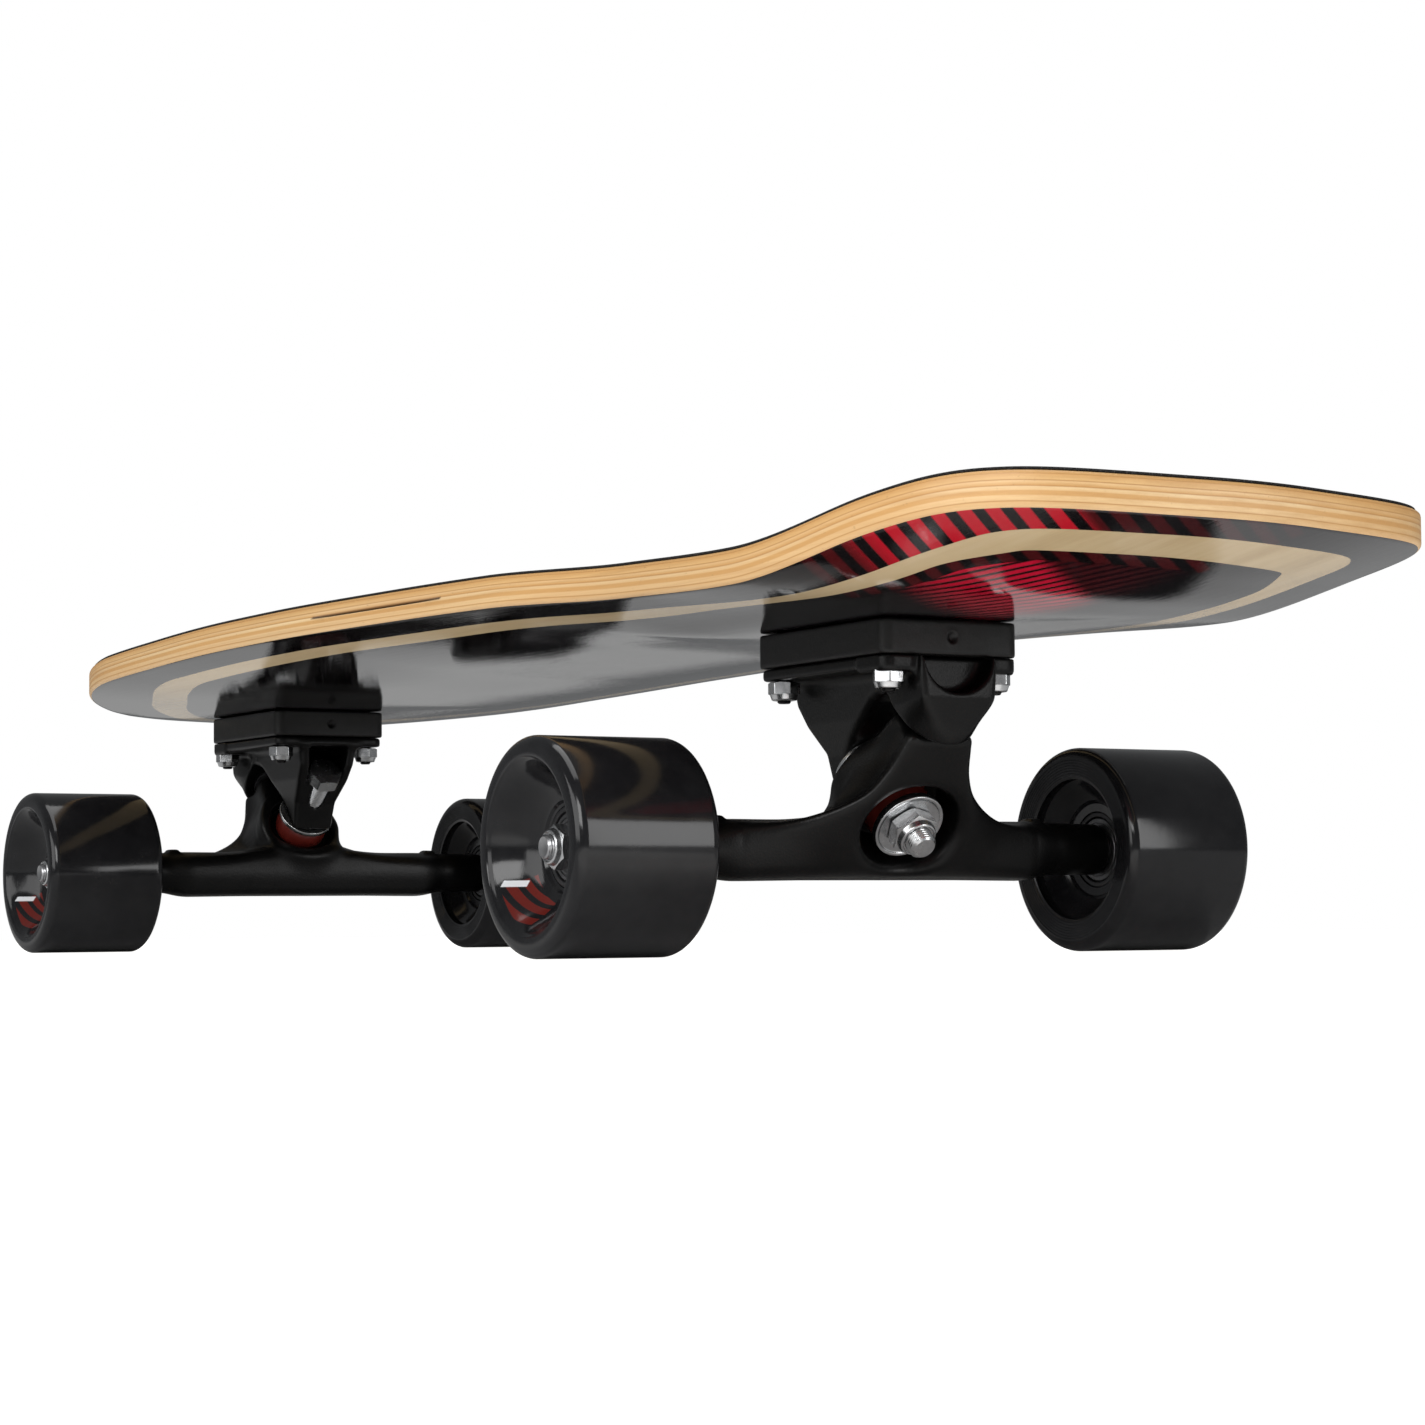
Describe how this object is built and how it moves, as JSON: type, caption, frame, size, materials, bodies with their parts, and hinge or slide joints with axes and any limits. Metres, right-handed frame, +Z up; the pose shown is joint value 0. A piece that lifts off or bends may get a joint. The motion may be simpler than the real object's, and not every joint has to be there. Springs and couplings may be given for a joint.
{
  "type": "longboard skateboard",
  "caption": "Longboard skateboard: laminated deck with grip tape on two risers and two spring-centred reverse-kingpin trucks that steer as the deck leans, with free-spinning wheels.",
  "frame": {"origin": "on the ground, under the middle of the deck's length and width, where the wheels stand", "axes": "+X towards the nose, +Y towards the rider's left, +Z up"},
  "size_m": [0.784, 0.261, 0.1339],
  "materials": {
    "deck_maple": "clear-coated maple plies; gloss print on the underside",
    "grip_black": "rough abrasive sheet",
    "riser_black": "moulded, satin",
    "truck_black": "cast aluminium, satin black coating",
    "cup_black": "matte",
    "zinc_steel": "bright zinc plated steel",
    "bushing_red": "cast polyurethane, dark red",
    "axle_steel": "ground steel rod",
    "tyre_black": "glossy cast polyurethane",
    "core_black": "moulded, satin",
    "bearing_steel": "polished rings, pressed shields"
  },
  "bodies": {
    "deck": {"deck": "deck_maple", "grip_tape": "grip_black", "front_riser": "riser_black", "front_baseplate": "truck_black", "front_pivot_cup": "cup_black", "front_kingpin": "zinc_steel", "front_kingpin_nut": "zinc_steel", "front_roadside_washer": "zinc_steel", "front_boardside_washer": "zinc_steel", "front_roadside_bushing": "bushing_red", "front_boardside_bushing": "bushing_red", "front_deck_bolt_1": "zinc_steel", "front_deck_bolt_2": "zinc_steel", "front_deck_bolt_3": "zinc_steel", "front_deck_bolt_4": "zinc_steel", "front_lock_nut_1": "zinc_steel", "front_lock_nut_2": "zinc_steel", "front_lock_nut_3": "zinc_steel", "front_lock_nut_4": "zinc_steel", "rear_riser": "riser_black", "rear_baseplate": "truck_black", "rear_pivot_cup": "cup_black", "rear_kingpin": "zinc_steel", "rear_kingpin_nut": "zinc_steel", "rear_roadside_washer": "zinc_steel", "rear_boardside_washer": "zinc_steel", "rear_roadside_bushing": "bushing_red", "rear_boardside_bushing": "bushing_red", "rear_deck_bolt_1": "zinc_steel", "rear_deck_bolt_2": "zinc_steel", "rear_deck_bolt_3": "zinc_steel", "rear_deck_bolt_4": "zinc_steel", "rear_lock_nut_1": "zinc_steel", "rear_lock_nut_2": "zinc_steel", "rear_lock_nut_3": "zinc_steel", "rear_lock_nut_4": "zinc_steel"},
    "front_hanger": {"front_hanger": "truck_black", "front_axle": "axle_steel", "front_left_axle_nut": "zinc_steel", "front_right_axle_nut": "zinc_steel"},
    "rear_hanger": {"rear_hanger": "truck_black", "rear_axle": "axle_steel", "rear_left_axle_nut": "zinc_steel", "rear_right_axle_nut": "zinc_steel"},
    "front_left_wheel": {"front_left_tyre": "tyre_black", "front_left_core": "core_black", "front_left_inboard_bearing": "bearing_steel", "front_left_outboard_bearing": "bearing_steel"},
    "front_right_wheel": {"front_right_tyre": "tyre_black", "front_right_core": "core_black", "front_right_inboard_bearing": "bearing_steel", "front_right_outboard_bearing": "bearing_steel"},
    "rear_left_wheel": {"rear_left_tyre": "tyre_black", "rear_left_core": "core_black", "rear_left_inboard_bearing": "bearing_steel", "rear_left_outboard_bearing": "bearing_steel"},
    "rear_right_wheel": {"rear_right_tyre": "tyre_black", "rear_right_core": "core_black", "rear_right_inboard_bearing": "bearing_steel", "rear_right_outboard_bearing": "bearing_steel"}
  },
  "joints": [
    {"name": "front_steer", "type": "hinge", "parent": "deck", "child": "front_hanger", "pos_m": [0.19684, 0, 0.05228], "axis": [0.7431, 0, 0.6691], "range_deg": [-16, 16], "stiffness_Nm_per_rad": 45, "deforming": ["front_boardside_bushing", "front_roadside_bushing"]},
    {"name": "rear_steer", "type": "hinge", "parent": "deck", "child": "rear_hanger", "pos_m": [-0.29684, 0, 0.05228], "axis": [-0.7431, 0, 0.6691], "range_deg": [-16, 16], "stiffness_Nm_per_rad": 45, "deforming": ["rear_boardside_bushing", "rear_roadside_bushing"]},
    {"name": "front_left_spin", "type": "hinge", "parent": "front_hanger", "child": "front_left_wheel", "pos_m": [0.19, 0.105, 0.035], "axis": [0, 1, 0], "continuous": true},
    {"name": "front_right_spin", "type": "hinge", "parent": "front_hanger", "child": "front_right_wheel", "pos_m": [0.19, -0.105, 0.035], "axis": [0, 1, 0], "continuous": true},
    {"name": "rear_left_spin", "type": "hinge", "parent": "rear_hanger", "child": "rear_left_wheel", "pos_m": [-0.29, 0.105, 0.035], "axis": [0, 1, 0], "continuous": true},
    {"name": "rear_right_spin", "type": "hinge", "parent": "rear_hanger", "child": "rear_right_wheel", "pos_m": [-0.29, -0.105, 0.035], "axis": [0, 1, 0], "continuous": true}
  ]
}
